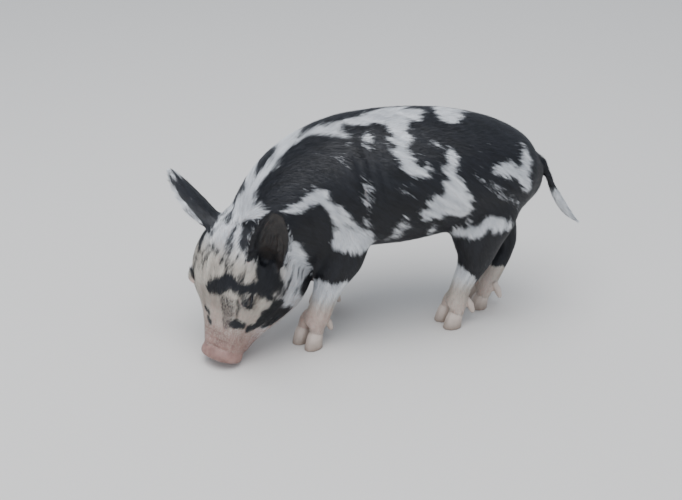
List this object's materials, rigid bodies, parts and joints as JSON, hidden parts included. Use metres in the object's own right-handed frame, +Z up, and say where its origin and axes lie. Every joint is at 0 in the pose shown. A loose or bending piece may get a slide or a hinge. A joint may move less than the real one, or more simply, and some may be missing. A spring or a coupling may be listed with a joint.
{
  "type": "pig",
  "caption": "Still, life-size model of a young spotted pig that stands on its feet with its head lowered and turned to root at the ground.",
  "frame": {"origin": "on the floor, under the middle of the model's box", "axes": "+X to the tail, so the pig faces -X; -Y is its left side; +Z up"},
  "size_m": [0.4514, 0.1924, 0.2452],
  "materials": {
    "coat": "short bristly hair, black with white patches, over skin",
    "snout": "bare pink skin, satin",
    "eye": "wet gloss",
    "horn": "satin horn, worn matt at the edges"
  },
  "bodies": {
    "root": {"ear_left": "coat", "ear_right": "coat", "eye_left": "eye", "eye_right": "eye", "foreleg_left": "coat", "foreleg_left_dewclaw_left": "horn", "foreleg_left_dewclaw_right": "horn", "foreleg_left_hoof_left": "horn", "foreleg_left_hoof_right": "horn", "foreleg_right": "coat", "foreleg_right_dewclaw_left": "horn", "foreleg_right_dewclaw_right": "horn", "foreleg_right_hoof_left": "horn", "foreleg_right_hoof_right": "horn", "head": "coat", "hindleg_left": "coat", "hindleg_left_dewclaw_left": "horn", "hindleg_left_dewclaw_right": "horn", "hindleg_left_hoof_left": "horn", "hindleg_left_hoof_right": "horn", "hindleg_right": "coat", "hindleg_right_dewclaw_left": "horn", "hindleg_right_dewclaw_right": "horn", "hindleg_right_hoof_left": "horn", "hindleg_right_hoof_right": "horn", "lower_jaw": "coat", "neck": "coat", "snout_disc": "snout", "tail": "coat", "trunk": "coat"}
  },
  "joints": []
}
